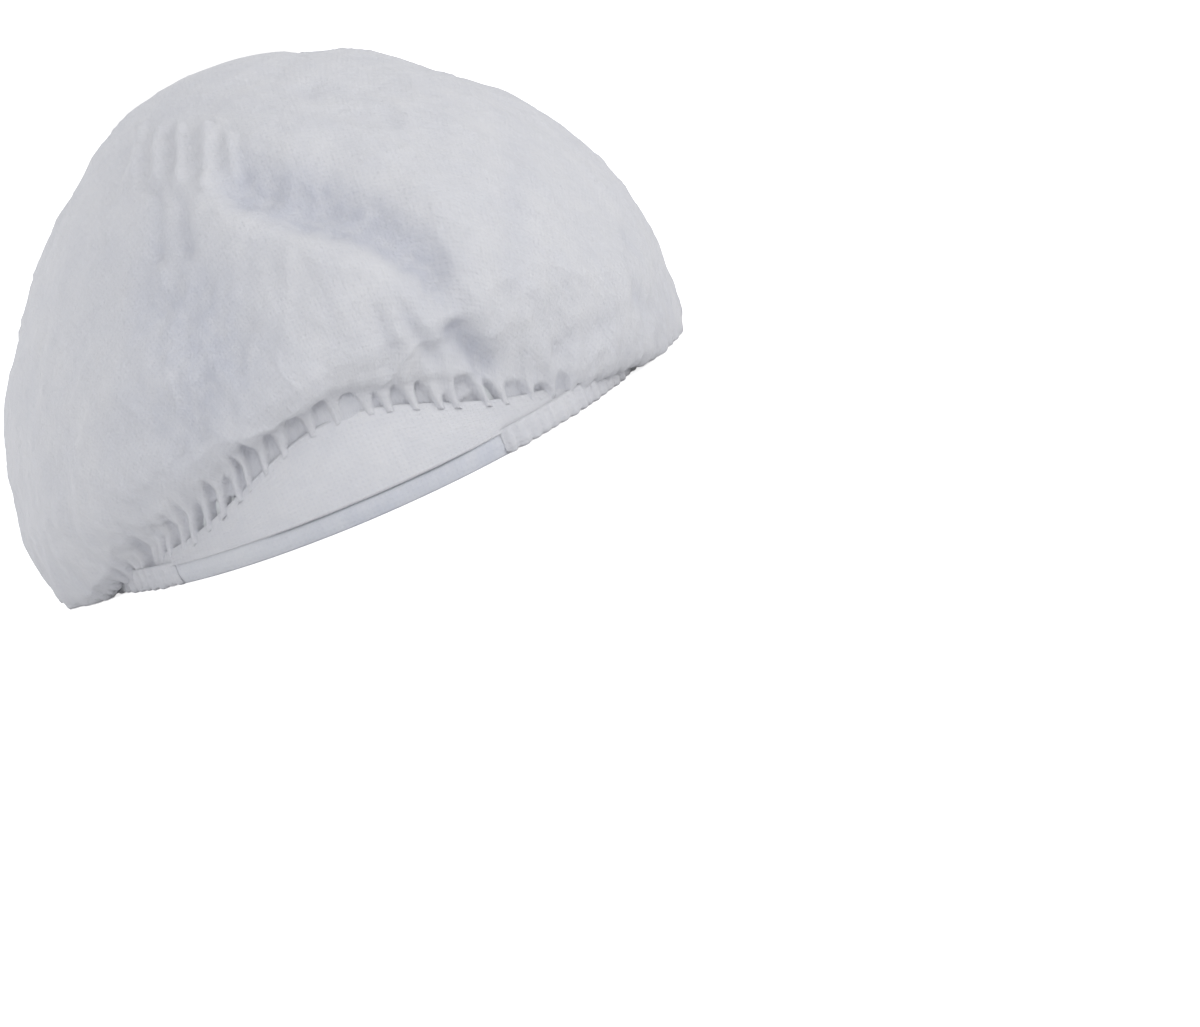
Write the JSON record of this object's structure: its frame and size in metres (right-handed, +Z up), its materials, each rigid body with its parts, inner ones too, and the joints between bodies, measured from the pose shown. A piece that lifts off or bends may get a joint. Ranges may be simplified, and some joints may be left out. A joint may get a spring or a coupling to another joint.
{
  "type": "bump cap",
  "caption": "Bump cap with a vented, foam-padded hard insert under a removable bouffant cover, gathered onto a smooth forehead panel and an elastic rim.",
  "frame": {"origin": "centre of the bounding box, on the plane that the rim stands on", "axes": "+Z up out of the top of the cap, +Y towards the back of the wearer's head, +X towards the wearer's left"},
  "size_m": [0.22, 0.248, 0.1315],
  "materials": {
    "abs": "satin",
    "bead": "matte",
    "foam": "matte",
    "towelling": "matte",
    "rivet": "satin",
    "hook_tape": "matte",
    "nonwoven": "matte",
    "nonwoven_smooth": "matte",
    "elastic": "matte",
    "label": "satin"
  },
  "bodies": {
    "insert": {"bump_shell": "abs", "edge_trim": "bead", "front_pad": "foam", "left_pad": "foam", "rear_pad": "foam", "right_pad": "foam", "crown_pad": "foam", "sweatband": "towelling", "front_rivet": "rivet", "left_rivet": "rivet", "rear_rivet": "rivet", "right_rivet": "rivet", "crown_hook_patch": "hook_tape"},
    "cover": {"crown_cover": "nonwoven", "forehead_panel": "nonwoven_smooth", "front_hem": "nonwoven_smooth", "rear_casing": "nonwoven", "rear_elastic": "elastic", "gather_tape": "nonwoven_smooth", "crown_loop_patch": "hook_tape", "care_label": "label"}
  },
  "joints": [
    {"name": "cover_lift", "type": "slide", "parent": "insert", "child": "cover", "axis": [0, 0, 1], "range_m": [0, 0.16]}
  ]
}
